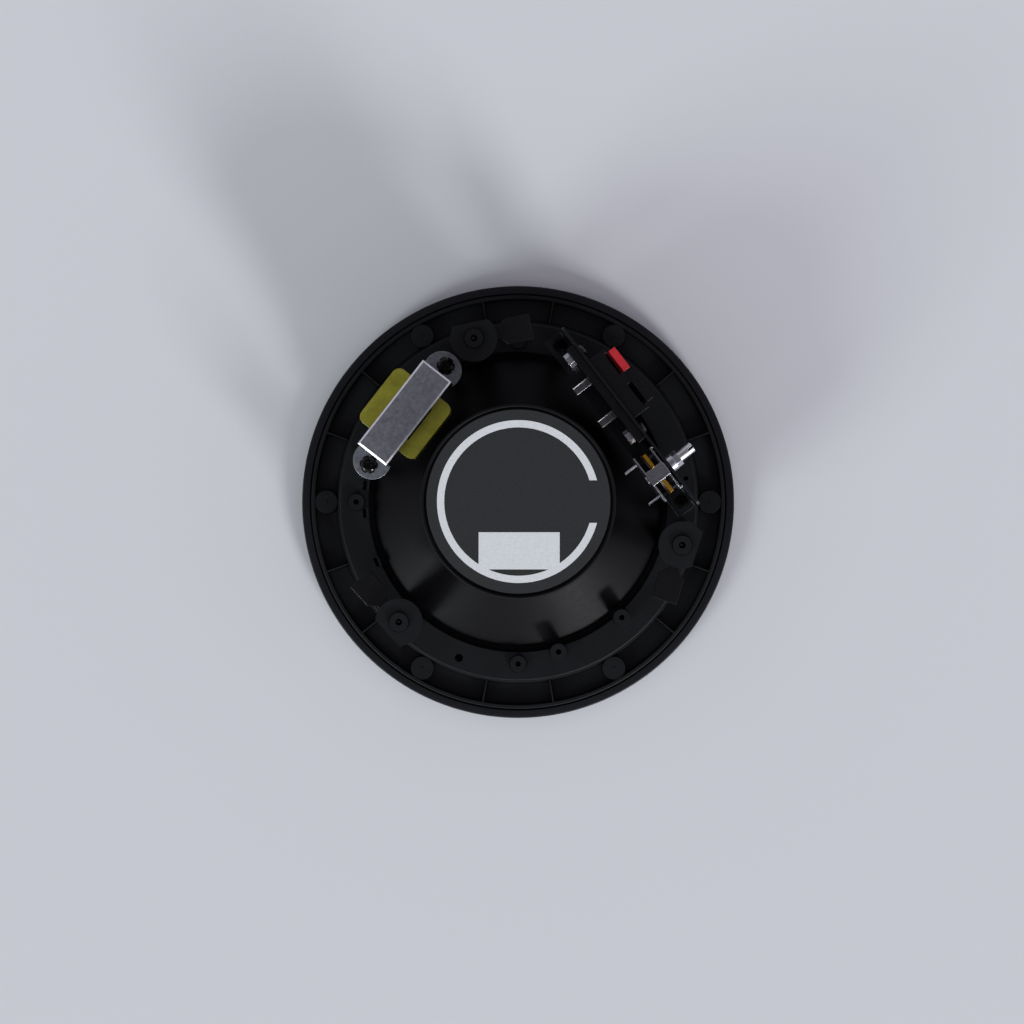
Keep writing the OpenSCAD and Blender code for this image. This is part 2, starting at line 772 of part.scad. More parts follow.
// Shallow horn with its chamber behind it
module tweeter_housing() {
    r = tweeter_d / 2;
    h = tweeter_h;
    color("#202022") translate([0, 0, tweeter_z]) rotate_extrude() polygon(concat(
        [[7.4, 4], [7.4, 3]], [for (a = [0 : 15 : 90]) [r - 1.2 - (r - 8.6) * cos(a), 3 - 3 * sin(a)]],
        [[r, 0], [r, 2], [r - 3, h - 4], [r - 6, h], [0, h], [0, h - 2], [7.4, h - 2]]));
}

module tweeter_dome() {
    color("#1a1a1c") translate([0, 0, tweeter_z]) rotate_extrude() polygon(concat(
        [[7.1, 3.5], [7.1, 3]],
        [for (a = [30 : 12 : 90]) [6.6 / cos(30) * cos(a), 3 - 6.6 / cos(30) * (sin(a) - 0.5)]],
        [for (a = [90 : -12 : 30]) [6.1 / cos(30) * cos(a), 3.5 - 6.1 / cos(30) * (sin(a) - 0.5)]]));
}

module magnet_cover() {
    r = cover_d / 2;
    e = cover_edge_r / 2;
    in = r - cover_wall;
    color("#101011") rotate_extrude($fn = 180) polygon(concat(
        [[0, cover_in_z], [in, cover_in_z], [in, ledge_z + seat_gap], [r, ledge_z + seat_gap]],
        [for (a = [0 : 15 : 180]) [r - e + e * cos(a), cover_z - e + e * sin(a)]],
        [[r - 2 * e, groove_z], [plateau_r, groove_z], [plateau_r, plateau_z], [0, plateau_z]]));
}

module cover_label() {
    color("#333437") translate([0, 0, plateau_z]) cylinder(d = label_d, h = label_t, $fn = 180);
}

module label_print() {
    w = print_d / 2 - print_w;
    color("#c9cacc") translate([0, 0, plateau_z + label_t]) linear_extrude(0.1) {
        difference() {
            circle(d = print_d, $fn = 180);
            circle(r = w, $fn = 180);
            translate([0, -print_gap / 2]) square([print_d, print_gap]);
        }
        translate([-print_panel_w / 2 + 0.4, -w + 3.3]) square([print_panel_w, print_panel_h]);
    }
}

module clamp_screw(i) {
    r = clamp_screw_r;
    tip = 0.6;
    l = tower_z + screw_boss_h - under_z - 0.4;
    color("#a5a6a8") at_clamp(i) {
        translate([0, 0, under_z]) rotate([180, 0, 0]) pan_screw(r, l - tip, 4, 2.6, 2.3);
        translate([0, 0, under_z + l - tip - eps]) cylinder(r1 = r, r2 = r - tip, h = tip, $fn = 32);
    }
}

// Threaded brass insert: it travels on the screw and carries the arm
module clamp_nut(i) {
    color("#b08d4a") at_clamp(i) difference() {
        union() {
            translate([0, 0, arm_z]) cylinder(r = insert_r, h = hub_h - insert_flange_t + eps, $fn = 48);
            translate([0, 0, arm_top_z - insert_flange_t])
                cylinder(r = insert_flange_r, h = insert_flange_t, $fn = 48);
        }
        translate([0, 0, arm_z - 1]) cylinder(r = clamp_screw_r + run_gap, h = hub_h + 2, $fn = 48);
    }
}

module clamp_arm(i) {
    color("#1b1b1c") at_clamp(i) difference() {
        union() {
            translate([0, 0, arm_z]) cylinder(r = hub_r, h = hub_h, $fn = 64);
            rotate([0, 0, -90]) arm_bar();
        }
        translate([0, 0, arm_z - 5]) cylinder(r = insert_r + run_gap, h = hub_h + 9, $fn = 48);
        translate([0, 0, arm_top_z - insert_flange_t - run_gap])
            cylinder(r = insert_flange_r + run_gap, h = 4, $fn = 48);
    }
}

// Neck, tapered shoulder and square foot in plan, then the toothed pad under the foot
module arm_bar() {
    start = foot_reach - foot_w / 2;
    taper = (foot_w - neck_w) / 2;
    bar_h = hub_h - 2;
    translate([0, 0, arm_top_z - bar_h]) linear_extrude(bar_h) polygon([
        [0, -neck_w / 2], [start - taper, -neck_w / 2], [start, -foot_w / 2],
        [start + foot_w, -foot_w / 2], [start + foot_w, foot_w / 2], [start, foot_w / 2],
        [start - taper, neck_w / 2], [0, neck_w / 2]]);
    translate([start + 1, -foot_w / 2 + 1, arm_top_z - foot_h - 1.4])
        cube([foot_w - 2, foot_w - 2, foot_h - bar_h + 1.4 + eps]);
    for (i = [0 : 3]) translate([start + 1.4 + i * (foot_w - 4.4) / 3, -foot_w / 2 + 1,
        arm_top_z - foot_h - 2]) cube([1.6, foot_w - 2, 1]);
}

// Folded section of the bracket: foot, bend and panel
module bracket_section() {
    b = bracket_bend_r;
    t = bracket_t;
    z = high_post_z;
    difference() {
        union() {
            translate([foot_in, z]) square([bracket_foot_w - b, t]);
            translate([panel_in, z + b]) square([t, panel_z - z - b]);
            translate([panel_n - b, z + b]) circle(r = b, $fn = 48);
        }
        translate([panel_n - b, z + b]) circle(r = b - t, $fn = 48);
        translate([panel_n - b - big, z + t]) square([big, big]);
        translate([panel_in - big, z + b]) square([big, big]);
    }
}

module terminal_bracket() {
    color("#161617") at_bracket() difference() {
        translate([0, bracket_y + bracket_l / 2, 0]) rotate([90, 0, 0])
            linear_extrude(bracket_l) bracket_section();
        for (y = [post_a_y, post_b_y]) translate([post_n, y, 0]) cylinder(r = 1.8, h = big, $fn = 32);
        translate([panel_in - 1, terminal_y - terminal_l / 2 - window_gap,
            fit_z - terminal_h / 2 + 0.5 - window_gap])
            cube([bracket_t + 2, terminal_l + 2 * window_gap, terminal_h - 1 + 2 * window_gap]);
        for (s = [-1, 1]) outward(panel_in - 1, terminal_y + s * terminal_screw_pitch / 2, fit_z)
            cylinder(r = m4_r + 0.2, h = bracket_t + 2, $fn = 32);
        outward(panel_in - 1, selector_y, fit_z) cylinder(r = bushing_r + 0.1, h = 9, $fn = 48);
        for (s = [-1, 1]) outward(panel_in - 1, selector_y + s * rod_pitch / 2, fit_z)
            cylinder(r = rod_r + 0.15, h = 9, $fn = 24);
        for (y = [-1, 1]) translate([panel_n, bracket_y + y * bracket_l / 2, panel_z]) corner_cut(y);
    }
}

// Rounds one top corner of the panel
module corner_cut(side) {
    c = 3;
    translate([-9, -side * c, -c]) rotate([0, 90, 0]) difference() {
        translate([-c - 1, side > 0 ? 0 : -c - 1, 0]) cube([c + 1, c + 1, 18]);
        cylinder(r = c, h = 18, $fn = 48);
    }
}

module bracket_screws() {
    color("#151515") at_bracket_posts() translate([0, 0, high_post_z + bracket_t])
        pan_screw(pilot_d / 2 - run_gap, 8, 3.6, 2.2, 2);
}

// Spring terminal: a flange behind the panel and a block that passes the window
module terminal_body() {
    low = fit_z - terminal_h / 2;
    color("#19191a") at_bracket() difference() {
        union() {
            translate([panel_in - terminal_flange_t, terminal_y - terminal_flange_l / 2, low])
                cube([terminal_flange_t, terminal_flange_l, terminal_h]);
            translate([panel_in - eps, terminal_y - terminal_l / 2, low + 0.5])
                cube([terminal_face - panel_in, terminal_l, terminal_h - 1]);
        }
        for (s = [-1, 1]) {
            lever_room(terminal_y + s * lever_pitch / 2);
            outward_y(pivot_n, terminal_y + s * lever_pitch / 2, pivot_z)
                cylinder(r = pivot_r + run_gap, h = lever_w + 3, center = true, $fn = 32);
            outward(terminal_face - 8, terminal_y + s * lever_pitch / 2, recess_z - 4.4)
                cylinder(d = wire_hole_d, h = 9, $fn = 32);
            tab_slot(s);
            outward(panel_in - terminal_flange_t - 1, terminal_y + s * terminal_screw_pitch / 2, fit_z)
                cylinder(r = m4_r + run_gap, h = terminal_flange_t + 2, $fn = 32);
        }
    }
}

// Pocket for a lever's knuckle, and a sloping relief above it for the finger pad
module lever_room(y) {
    w = lever_w + 2 * swing_gap;
    top = pivot_z + pocket_h;
    translate([terminal_face - recess_d, y - w / 2, recess_z]) cube([recess_d + 1, w, top - recess_z]);
    translate([0, y + w / 2, 0]) rotate([90, 0, 0]) linear_extrude(w) polygon([
        [terminal_face, top - eps], [terminal_face + 1, top - eps],
        [terminal_face + 1, lever_top_z + 1], [terminal_face - lever_relief, lever_top_z + 1],
        [terminal_face - lever_relief, lever_top_z]]);
}

module tab_slot(s) {
    translate([panel_in - terminal_flange_t - 1, terminal_y + s * tab_pitch / 2 - tab_w / 2 - run_gap,
        recess_z - 4.4 - tab_t / 2 - run_gap])
        cube([terminal_flange_t + 6, tab_w + 2 * run_gap, tab_t + 2 * run_gap]);
}

// Turns a shape so that its axis runs along the panel
module outward_y(n, y, z) {
    translate([n, y, z]) rotate([90, 0, 0]) children();
}

// Lever: a finger pad on a knuckle, with a pivot pin moulded on each side
module lever(side) {
    y = terminal_y + side * lever_pitch / 2;
    n = terminal_face + lever_gap;
    at_bracket() {
        outward_y(pivot_n, y, pivot_z) cylinder(r = knuckle_r, h = lever_w, center = true, $fn = 32);
        outward_y(pivot_n, y, pivot_z)
            cylinder(r = pivot_r, h = lever_w + 2.4, center = true, $fn = 32);
        translate([pivot_n, y - lever_w / 2, pivot_z - 1.2]) cube([n - pivot_n + 1, lever_w, 2.4]);
        translate([n, y - lever_w / 2, pivot_z - 1.6]) lever_pad();
    }
}

module lever_pad() {
    h = lever_top_z - pivot_z + 1.6;
    difference() {
        cube([lever_t, lever_w, h]);
        for (i = [0 : 2]) translate([lever_t - 0.4, -1, h - 5.5 + 1.7 * i]) cube([1, lever_w + 2, 0.7]);
    }
}

module red_lever() {
    color("#b3202a") lever(1);
}

module black_lever() {
    color("#19191a") lever(-1);
}

module solder_tabs() {
    z = recess_z - 4.4 - tab_t / 2;
    l = tab_reach + terminal_flange_t + 4.5;
    color("#c2c3c5") at_bracket() for (s = [-1, 1])
        translate([panel_in - terminal_flange_t - tab_reach,
            terminal_y + s * tab_pitch / 2 - tab_w / 2, z]) difference() {
            cube([l, tab_w, tab_t]);
            translate([-1, 0.5, tab_t - 0.35]) cube([tab_reach, tab_w - 1, 1]);
        }
}

module terminal_screws() {
    l = bracket_t + terminal_flange_t + m4_nut_t + 0.4;
    color("#1c1c1d") at_bracket() for (s = [-1, 1])
        outward(panel_n, terminal_y + s * terminal_screw_pitch / 2, fit_z)
            pan_screw(m4_r, l, 3.7, 2.3, 2);
}

// The flats of the nuts face up, so their corners point along the panel
module terminal_nuts() {
    color("#b9babd") at_bracket() for (s = [-1, 1])
        outward(panel_in - terminal_flange_t - m4_nut_t, terminal_y + s * terminal_screw_pitch / 2, fit_z)
            rotate([0, 0, 90]) difference() {
                cylinder(r = m4_nut_r, h = m4_nut_t, $fn = 6);
                translate([0, 0, -1]) cylinder(r = m4_r + run_gap, h = m4_nut_t + 2, $fn = 32);
            }
}

// Folded sheet: the front and back plates are joined by a strap above and below
module selector_frame() {
    w = selector_w;
    h = selector_h;
    t = selector_t;
    reach = front_plate_n - back_plate_n + t;
    color("#b4b5b8") at_bracket() difference() {
        union() {
            translate([front_plate_n - t, selector_y - w / 2, fit_z - h / 2]) cube([t, w, h]);
            translate([back_plate_n - t, selector_y - w / 2 - 0.7, fit_z - h / 2]) cube([t, w + 1.4, h]);
            for (s = [-1, 1]) translate([back_plate_n - t, selector_y - strap_w / 2,
                fit_z + s * (h / 2 + t / 2) - t / 2]) cube([reach, strap_w, t]);
            for (s = [-1, 1]) translate([front_plate_n - t, selector_y + s * (w / 2 - t / 2) - t / 2,
                fit_z - h / 2]) cube([panel_in - front_plate_n + t, t, h]);
        }
        outward(back_plate_n - 5, selector_y, fit_z) cylinder(r = shaft_r + run_gap, h = 8, $fn = 48);
        outward(front_plate_n - 5, selector_y, fit_z) cylinder(r = bushing_r, h = 8, $fn = 48);
        for (s = [-1, 1]) outward(back_plate_n - 5, selector_y + s * rod_pitch / 2, fit_z)
            cylinder(r = rod_r + run_gap, h = reach + 10, $fn = 24);
    }
}

module selector_bushing() {
    l = panel_n + collar_l + nut_l - front_plate_n + selector_t;
    color("#a9aaad") at_bracket() outward(front_plate_n - selector_t, selector_y, fit_z) difference() {
        cylinder(r = bushing_r - run_gap, h = l, $fn = 48);
        translate([0, 0, -1]) cylinder(r = shaft_r + run_gap, h = l + 2, $fn = 48);
    }
}

module selector_collar() {
    color("#2a2c2b") at_bracket() outward(panel_n, selector_y, fit_z) difference() {
        cylinder(r = collar_r, h = collar_l, $fn = 48);
        translate([0, 0, -1]) cylinder(r = bushing_r, h = collar_l + 2, $fn = 48);
    }
}

module selector_nut() {
    color("#c4c5c8") at_bracket() outward(panel_n + collar_l, selector_y, fit_z)
        rotate([0, 0, 90]) difference() {
            cylinder(r = 4.6, h = nut_l, $fn = 6);
            translate([0, 0, -1]) cylinder(r = bushing_r, h = nut_l + 2, $fn = 48);
        }
}

// Two long rods hold the plates together: riveted over outside, bare ends inside
module selector_rods() {
    tail = back_plate_n - selector_t - rod_tail;
    color("#c4c5c8") at_bracket() for (s = [-1, 1]) {
        outward(tail, selector_y + s * rod_pitch / 2, fit_z)
            cylinder(r = rod_r, h = panel_n - tail + eps, $fn = 24);
        outward(panel_n, selector_y + s * rod_pitch / 2, fit_z)
            cylinder(r1 = 1.2, r2 = 0.9, h = 0.6, $fn = 32);
    }
}

module selector_spacers() {
    color("#8c8d90") at_bracket() for (s = [-1, 1]) {
        outward(back_plate_n, selector_y + s * rod_pitch / 2, fit_z)
            spacer_tube(wafer_n - wafer_t - back_plate_n);
        outward(wafer_n, selector_y + s * rod_pitch / 2, fit_z)
            spacer_tube(front_plate_n - selector_t - wafer_n);
    }
}

module spacer_tube(l) {
    difference() {
        cylinder(r = 1.6, h = l, $fn = 32);
        translate([0, 0, -1]) cylinder(r = rod_r + run_gap, h = l + 2, $fn = 24);
    }
}

module selector_wafer() {
    color("#3a2b20") at_bracket() outward(wafer_n - wafer_t, selector_y, fit_z)
        linear_extrude(wafer_t) difference() {
            union() {
                circle(r = wafer_r, $fn = 64);
                square([8, rod_pitch + 5], center = true);
            }
            circle(r = shaft_r + 0.3, $fn = 48);
            for (s = [-1, 1]) translate([0, s * rod_pitch / 2]) circle(r = rod_r + run_gap, $fn = 24);
        }
}

// Gilt lugs stand off the wafer's edge beside the straps
module selector_contacts() {
    color("#c9992f") at_bracket() for (s = [-1, 1], v = [-1, 1])
        translate([wafer_n, selector_y + s * (strap_w + 0.6 + contact_l) / 2 - contact_l / 2,
            fit_z + v * (wafer_r - 1.6) - 0.4]) union() {
                cube([1.9, contact_l, 0.8]);
                translate([0, s > 0 ? 0 : contact_l - 2.4, v > 0 ? -2.4 : 0]) cube([0.6, 2.4, 3.2]);
            }
}

module selector_shaft() {
    l = panel_n + shaft_proud - back_plate_n + 1.6;
    color("#d0d1d3") at_bracket() outward(back_plate_n - 1.6, selector_y, fit_z) difference() {
        union() {
            cylinder(r = shaft_r, h = l - 0.5, $fn = 48);
            translate([0, 0, l - 0.5 - eps]) cylinder(r1 = shaft_r, r2 = shaft_r - 0.5, h = 0.5, $fn = 48);
        }
        translate([-5, -0.55, l - 3.3]) cube([10, 1.1, 5]);
    }
}

module selector_rotor() {
    color("#dcdad2") at_bracket() outward(wafer_n + 0.4, selector_y, fit_z)
        linear_extrude(1.4) difference() {
            union() {
                circle(r = rotor_r, $fn = 48);
                translate([-7, -1.2]) square([4, 2.4]);
            }
            circle(r = shaft_r + run_gap, $fn = 48);
        }
}

module transformer_core() {
    color("#4a4c50") at_transformer() difference() {
        translate([-stack_t / 2, -core_l / 2, core_z]) cube([stack_t, core_l, core_h]);
        for (s = [-1, 1]) translate([-big / 2, s * (leg_w + window_w) / 2 - window_w / 2, window_z])
            cube([big, window_w, window_h]);
    }
}

module transformer_bobbin() {
    color("#222224") at_transformer() translate([0, 0, window_z]) difference() {
        translate([-stack_t / 2 - 1.2, -leg_w / 2 - 1.2, 0.1])
            cube([stack_t + 2.4, leg_w + 2.4, window_h - 0.2]);
        translate([-stack_t / 2 - 0.1, -leg_w / 2 - 0.1, -1])
            cube([stack_t + 0.2, leg_w + 0.2, window_h + 2]);
    }
}

module rounded_square(w, h, r) {
    union() {
        square([w - 2 * r, h], center = true);
        square([w, h - 2 * r], center = true);
        for (x = [-1, 1], y = [-1, 1]) translate([x * (w / 2 - r), y * (h / 2 - r)])
            circle(r = r, $fn = 48);
    }
}

module transformer_coil() {
    color("#9a9630") at_transformer() translate([0, 0, window_z + 0.4])
        linear_extrude(window_h - 0.8) difference() {
            rounded_square(coil_w, 2 * leg_w - 0.4, coil_corner_r);
            square([stack_t + 2.5, leg_w + 2.5], center = true);
        }
}

// Folded strap: over the core, down both ends and out into the rounded ears
module transformer_strap() {
    t = trans_strap_t;
    w = stack_t + 1.6;
    half = core_l / 2 + 0.1;
    color("#b9bbbf") at_transformer() difference() {
        union() {
            translate([-w / 2, -half - t, core_top_z]) cube([w, 2 * (half + t), t]);
            for (s = [-1, 1]) translate([-w / 2, s * (half + t / 2) - t / 2, high_post_z])
                cube([w, t, core_top_z - high_post_z + eps]);
            for (s = [-1, 1]) scale([1, s, 1]) strap_ear(w, half);
        }
        at_ears() translate([0, 0, high_post_z - 1]) cylinder(r = 2.1, h = 4, $fn = 32);
    }
}

module strap_ear(w, half) {
    translate([0, 0, high_post_z]) linear_extrude(trans_strap_t) union() {
        difference() {
            translate([0, ear_pitch / 2 - ear_shift]) circle(r = ear_r, $fn = 64);
            translate([-w, half - 2 * ear_r]) square([2 * w, 2 * ear_r]);
        }
        translate([-w / 2, half]) square([w, ear_pitch / 2 - ear_shift - half]);
    }
}

module transformer_screws() {
    color("#121212") at_transformer() at_ears() translate([0, 0, high_post_z + trans_strap_t + 0.7])
        pan_screw(pilot_d / 2 - run_gap, 9, 4.3, 2.4, 2.1);
}

// Lock washer with a notch between each two of its broad teeth
module transformer_washers() {
    teeth = 6;
    r = 4.9;
    color("#2c2c2e") at_transformer() at_ears() translate([0, 0, high_post_z + trans_strap_t])
        linear_extrude(0.7) difference() {
            circle(r = r, $fn = 48);
            for (i = [0 : teeth - 1]) rotate([0, 0, i * 360 / teeth]) translate([r, 0])
                circle(r = 0.8, $fn = 24);
            circle(r = 1.7, $fn = 32);
        }
}

grille();
grille_magnets();
baffle();
driver_gasket();
basket();
driver_screws();
surround();
front_ring();
cone();
coil_former();
coil_winding();
spider();
top_plate();
ring_magnet();
yoke();
tweeter_post();
tweeter_nut();
tweeter_housing();
tweeter_dome();
magnet_cover();
cover_label();
label_print();
clamp_screw(0);  // clamp_screw_1
clamp_screw(1);  // clamp_screw_2
clamp_screw(2);  // clamp_screw_3
clamp_nut(0);  // clamp_nut_1
clamp_nut(1);  // clamp_nut_2
clamp_nut(2);  // clamp_nut_3
clamp_arm(0);  // clamp_arm_1
clamp_arm(1);  // clamp_arm_2
clamp_arm(2);  // clamp_arm_3
terminal_bracket();
bracket_screws();
terminal_body();
red_lever();
black_lever();
solder_tabs();
terminal_screws();
terminal_nuts();
selector_frame();
selector_bushing();
selector_nut();
selector_collar();
selector_rods();
selector_spacers();
selector_wafer();
selector_contacts();
selector_shaft();
selector_rotor();
transformer_core();
transformer_bobbin();
transformer_coil();
transformer_strap();
transformer_screws();
transformer_washers();
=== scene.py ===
# In ceiling speaker, seen from behind while it lies on its grille
import bpy
import bmesh
import math
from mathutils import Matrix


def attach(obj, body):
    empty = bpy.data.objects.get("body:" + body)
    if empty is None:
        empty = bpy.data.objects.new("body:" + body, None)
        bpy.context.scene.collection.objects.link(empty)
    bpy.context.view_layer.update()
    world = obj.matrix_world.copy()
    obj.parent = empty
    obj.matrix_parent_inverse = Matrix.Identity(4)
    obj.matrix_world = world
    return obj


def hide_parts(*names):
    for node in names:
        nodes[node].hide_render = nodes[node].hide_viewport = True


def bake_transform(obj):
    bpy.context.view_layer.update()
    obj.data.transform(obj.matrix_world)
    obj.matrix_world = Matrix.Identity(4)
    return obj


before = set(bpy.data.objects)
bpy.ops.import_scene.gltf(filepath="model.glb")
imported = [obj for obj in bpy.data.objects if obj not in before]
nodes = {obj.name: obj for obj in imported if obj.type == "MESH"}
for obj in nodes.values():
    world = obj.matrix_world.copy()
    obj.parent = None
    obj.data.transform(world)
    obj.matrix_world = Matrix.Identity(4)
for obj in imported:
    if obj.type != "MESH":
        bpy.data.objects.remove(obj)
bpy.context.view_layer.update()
mm = 0.001
print("frame loaded:", len(nodes), "nodes")


# Helpers for colours, materials and meshes

def hexColour(text):
    channels = [int(text[i:i + 2], 16) / 255 for i in (1, 3, 5)]
    return [c / 12.92 if c <= 0.04045 else ((c + 0.055) / 1.055) ** 2.4 for c in channels] + [1.0]


def addNode(tree, kind, settings=None, inputs=None):
    node = tree.nodes.new(kind)
    for key, value in (settings or {}).items():
        setattr(node, key, value)
    for key, value in (inputs or {}).items():
        if isinstance(value, bpy.types.NodeSocket):
            tree.links.new(value, node.inputs[key])
        else:
            node.inputs[key].default_value = value
    return node


def featureScale(sizeMm):
    # A noise texture in object coordinates repeats about once per 1 / scale metres
    return 1 / (sizeMm * mm)


# What all the finishes share: the make-up of their noise, the part of its range that is used,
# and between which openings the painted shade in a crevice goes from dark to none
texture = {
    "mottleDetail": 5.0, "mottleRoughness": 0.65, "grainDetail": 2.0, "grainRoughness": 0.5,
    "low": 0.3, "high": 0.7, "bumpShare": 0.3, "samples": 8, "ior": 1.5,
    "closed": 0.5, "open": 0.9, "leftInCreviceShade": 0.1}


def spreadNoise(tree, noise, low, high):
    return addNode(tree, "ShaderNodeMapRange", inputs={
        "Value": noise.outputs["Fac"], "From Min": texture["low"], "From Max": texture["high"],
        "To Min": low, "To Max": high}).outputs["Result"]


def paintCreviceShade(tree, look, colour, shader):
    # Painted shade: corners within the finish's reach are darker, in colour and in sheen, where a crevice's
    # shade falls
    corner = addNode(tree, "ShaderNodeAmbientOcclusion", {"samples": texture["samples"]}, {
        "Distance": look["creviceShadeMm"] * mm})
    light = addNode(tree, "ShaderNodeMapRange", inputs={
        "Value": corner.outputs["AO"], "From Min": texture["closed"], "From Max": texture["open"],
        "To Min": texture["leftInCreviceShade"], "To Max": 1.0}).outputs["Result"]
    sheen = addNode(tree, "ShaderNodeMath", {"operation": "MULTIPLY"}, {0: light, 1: look["specular"]})
    tree.links.new(sheen.outputs["Value"], shader.inputs["Specular IOR Level"])
    shaded = addNode(tree, "ShaderNodeMix", {"data_type": "RGBA"}, {"Factor": light})
    shaded.inputs["A"].default_value = hexColour("#000000")
    tree.links.new(colour, shaded.inputs["B"])
    return shaded.outputs["Result"]


def makeMaterial(look):
    # Colour mottle, roughness spread, grain and edges, all from the dictionary of one finish
    material = bpy.data.materials.new(look["name"])
    material.use_nodes = True
    tree = material.node_tree
    shader = tree.nodes["Principled BSDF"]
    place = addNode(tree, "ShaderNodeTexCoord").outputs["Object"]
    mottle = addNode(tree, "ShaderNodeTexNoise", inputs={
        "Vector": place, "Scale": featureScale(look["mottleMm"]),
        "Detail": texture["mottleDetail"], "Roughness": texture["mottleRoughness"]})
    colours = addNode(tree, "ShaderNodeMix", {"data_type": "RGBA"}, {
        "Factor": spreadNoise(tree, mottle, 0.0, 1.0)})
    colours.inputs["A"].default_value = hexColour(look["dark"])
    colours.inputs["B"].default_value = hexColour(look["light"])
    colour = colours.outputs["Result"]
    shader.inputs["Specular IOR Level"].default_value = look.get("specular", 0.5)
    # Painted shade in the corners, for the finishes that give a crevice width
    if "creviceShadeMm" in look:
        colour = paintCreviceShade(tree, look, colour, shader)
    tree.links.new(colour, shader.inputs["Base Color"])
    grain = addNode(tree, "ShaderNodeTexNoise", inputs={
        "Vector": place, "Scale": featureScale(look["grainMm"]),
        "Detail": texture["grainDetail"], "Roughness": texture["grainRoughness"]})
    tree.links.new(spreadNoise(tree, grain, *look["roughness"]), shader.inputs["Roughness"])
    rounded = addNode(tree, "ShaderNodeBevel", {"samples": texture["samples"]}, {
        "Radius": look["edgeMm"] * mm})
    bump = addNode(tree, "ShaderNodeBump", inputs={
        "Height": grain.outputs["Fac"], "Strength": look["bump"],
        "Distance": look["grainMm"] * mm * texture["bumpShare"], "Normal": rounded.outputs["Normal"]})
    tree.links.new(bump.outputs["Normal"], shader.inputs["Normal"])
    shader.inputs["IOR"].default_value = texture["ior"]
    shader.inputs["Metallic"].default_value = look.get("metallic", 0.0)
    shader.inputs["Specular Tint"].default_value = hexColour(look.get("sheenTint", "#FFFFFF"))
    return material


def dress(material, *names):
    for name in names:
        mesh = nodes[name].data
        mesh.materials.clear()
        mesh.materials.append(material)


def addObject(name, bm, material):
    mesh = bpy.data.meshes.new(name)
    bm.to_mesh(mesh)
    bm.free()
    mesh.materials.append(material)
    added = bpy.data.objects.new(name, mesh)
    bpy.context.scene.collection.objects.link(added)
    return added


def newPiece(name, bm, material, body, *replaced):
    piece = addObject(name, bm, material)
    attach(piece, body)
    if replaced:
        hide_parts(*replaced)
    return piece


# Materials, each named for the real one, and for the painted light or shade where they carry it. A mottleMm
# or grainMm is the width of one cloud or grain.
# Most of the real grains are finer than a pixel of the photograph, 0.5 mm, so they are drawn coarser.

# ABS moulded against a spark-eroded tool: a fine even grain that breaks the highlights, with painted shade
# in its corners
mouldedAbs = makeMaterial({
    "name": "mouldedBlackAbs", "dark": "#080A0C", "light": "#0E1013", "mottleMm": 14, "grainMm": 0.45,
    "roughness": (0.5, 0.6), "bump": 0.2, "edgeMm": 0.12, "specular": 0.2, "sheenTint": "#F1F3FC",
    "creviceShadeMm": 1.2})
# Terminal block and its black lever: a glossier moulding whose edges catch the light, with painted shade in
# its corners
terminalPlastic = makeMaterial({
    "name": "mouldedBlackPolyamide", "dark": "#050607", "light": "#090A0C", "mottleMm": 12, "grainMm": 0.45,
    "roughness": (0.36, 0.44), "bump": 0.15, "edgeMm": 0.5, "specular": 0.25, "sheenTint": "#F1F3FC",
    "creviceShadeMm": 0.8})
# Powder coat on steel sheet: a slight orange peel and a satin sheen
powderCoat = makeMaterial({
    "name": "powderCoatedSteel", "dark": "#090A0D", "light": "#0F1014", "mottleMm": 22, "grainMm": 0.9,
    "roughness": (0.38, 0.46), "bump": 0.15, "edgeMm": 0.3, "specular": 0.28, "sheenTint": "#EEF2FF"})
# Stove enamel on the pressed basket: nearly black, with long clear reflections
stoveEnamel = makeMaterial({
    "name": "stoveEnamelledSteel", "dark": "#020203", "light": "#030405", "mottleMm": 30, "grainMm": 2.5,
    "roughness": (0.48, 0.52), "bump": 0.02, "edgeMm": 0.4, "specular": 0.11, "sheenTint": "#F3F1FF"})
# Smooth moulding of the magnet's cover: black all over, with a soft low sheen
glossMoulding = makeMaterial({
    "name": "glossBlackMoulding", "dark": "#08090B", "light": "#0D0E11", "mottleMm": 18, "grainMm": 0.8,
    "roughness": (0.5, 0.58), "bump": 0.06, "edgeMm": 0.1, "specular": 0.09})
# Black oxide on steel screws: dark and slightly oily
blackOxide = makeMaterial({
    "name": "blackOxideSteel", "dark": "#030304", "light": "#070709", "mottleMm": 3, "grainMm": 0.3,
    "roughness": (0.16, 0.26), "bump": 0.05, "edgeMm": 0.25, "specular": 0.4})
# Black zinc on the small screws: near black with sharp small glints
blackZinc = makeMaterial({
    "name": "blackZincSteel", "dark": "#010102", "light": "#030304", "mottleMm": 3, "grainMm": 0.3,
    "roughness": (0.12, 0.2), "bump": 0.05, "edgeMm": 0.25, "specular": 0.22})
# Phosphate on the driver's and the bracket's screws: matt black, made darker still to stand in for the
# shade deep in their holes, with painted shade in their corners
phosphateHoleShade = makeMaterial({
    "name": "phosphateHoleShadedSteel", "dark": "#010101", "light": "#030303", "mottleMm": 3, "grainMm": 0.3,
    "roughness": (0.6, 0.7), "bump": 0.1, "specular": 0.04, "edgeMm": 0.1, "creviceShadeMm": 2.5})
# Zinc plate on sheet steel: pale grey with a cloudy bloom
zincPlate = makeMaterial({
    "name": "zincPlatedSteel", "dark": "#82858F", "light": "#A6A9B4", "mottleMm": 2.2, "grainMm": 0.6,
    "roughness": (0.34, 0.46), "bump": 0.12, "metallic": 1.0, "edgeMm": 0.3})
# Bright zinc on the selector's frame, rolled smooth at its sheared edges
brightZinc = makeMaterial({
    "name": "brightZincSteel", "dark": "#8A8C95", "light": "#A2A4AD", "mottleMm": 2.2, "grainMm": 0.5,
    "roughness": (0.26, 0.36), "bump": 0.06, "metallic": 1.0, "edgeMm": 0.7})
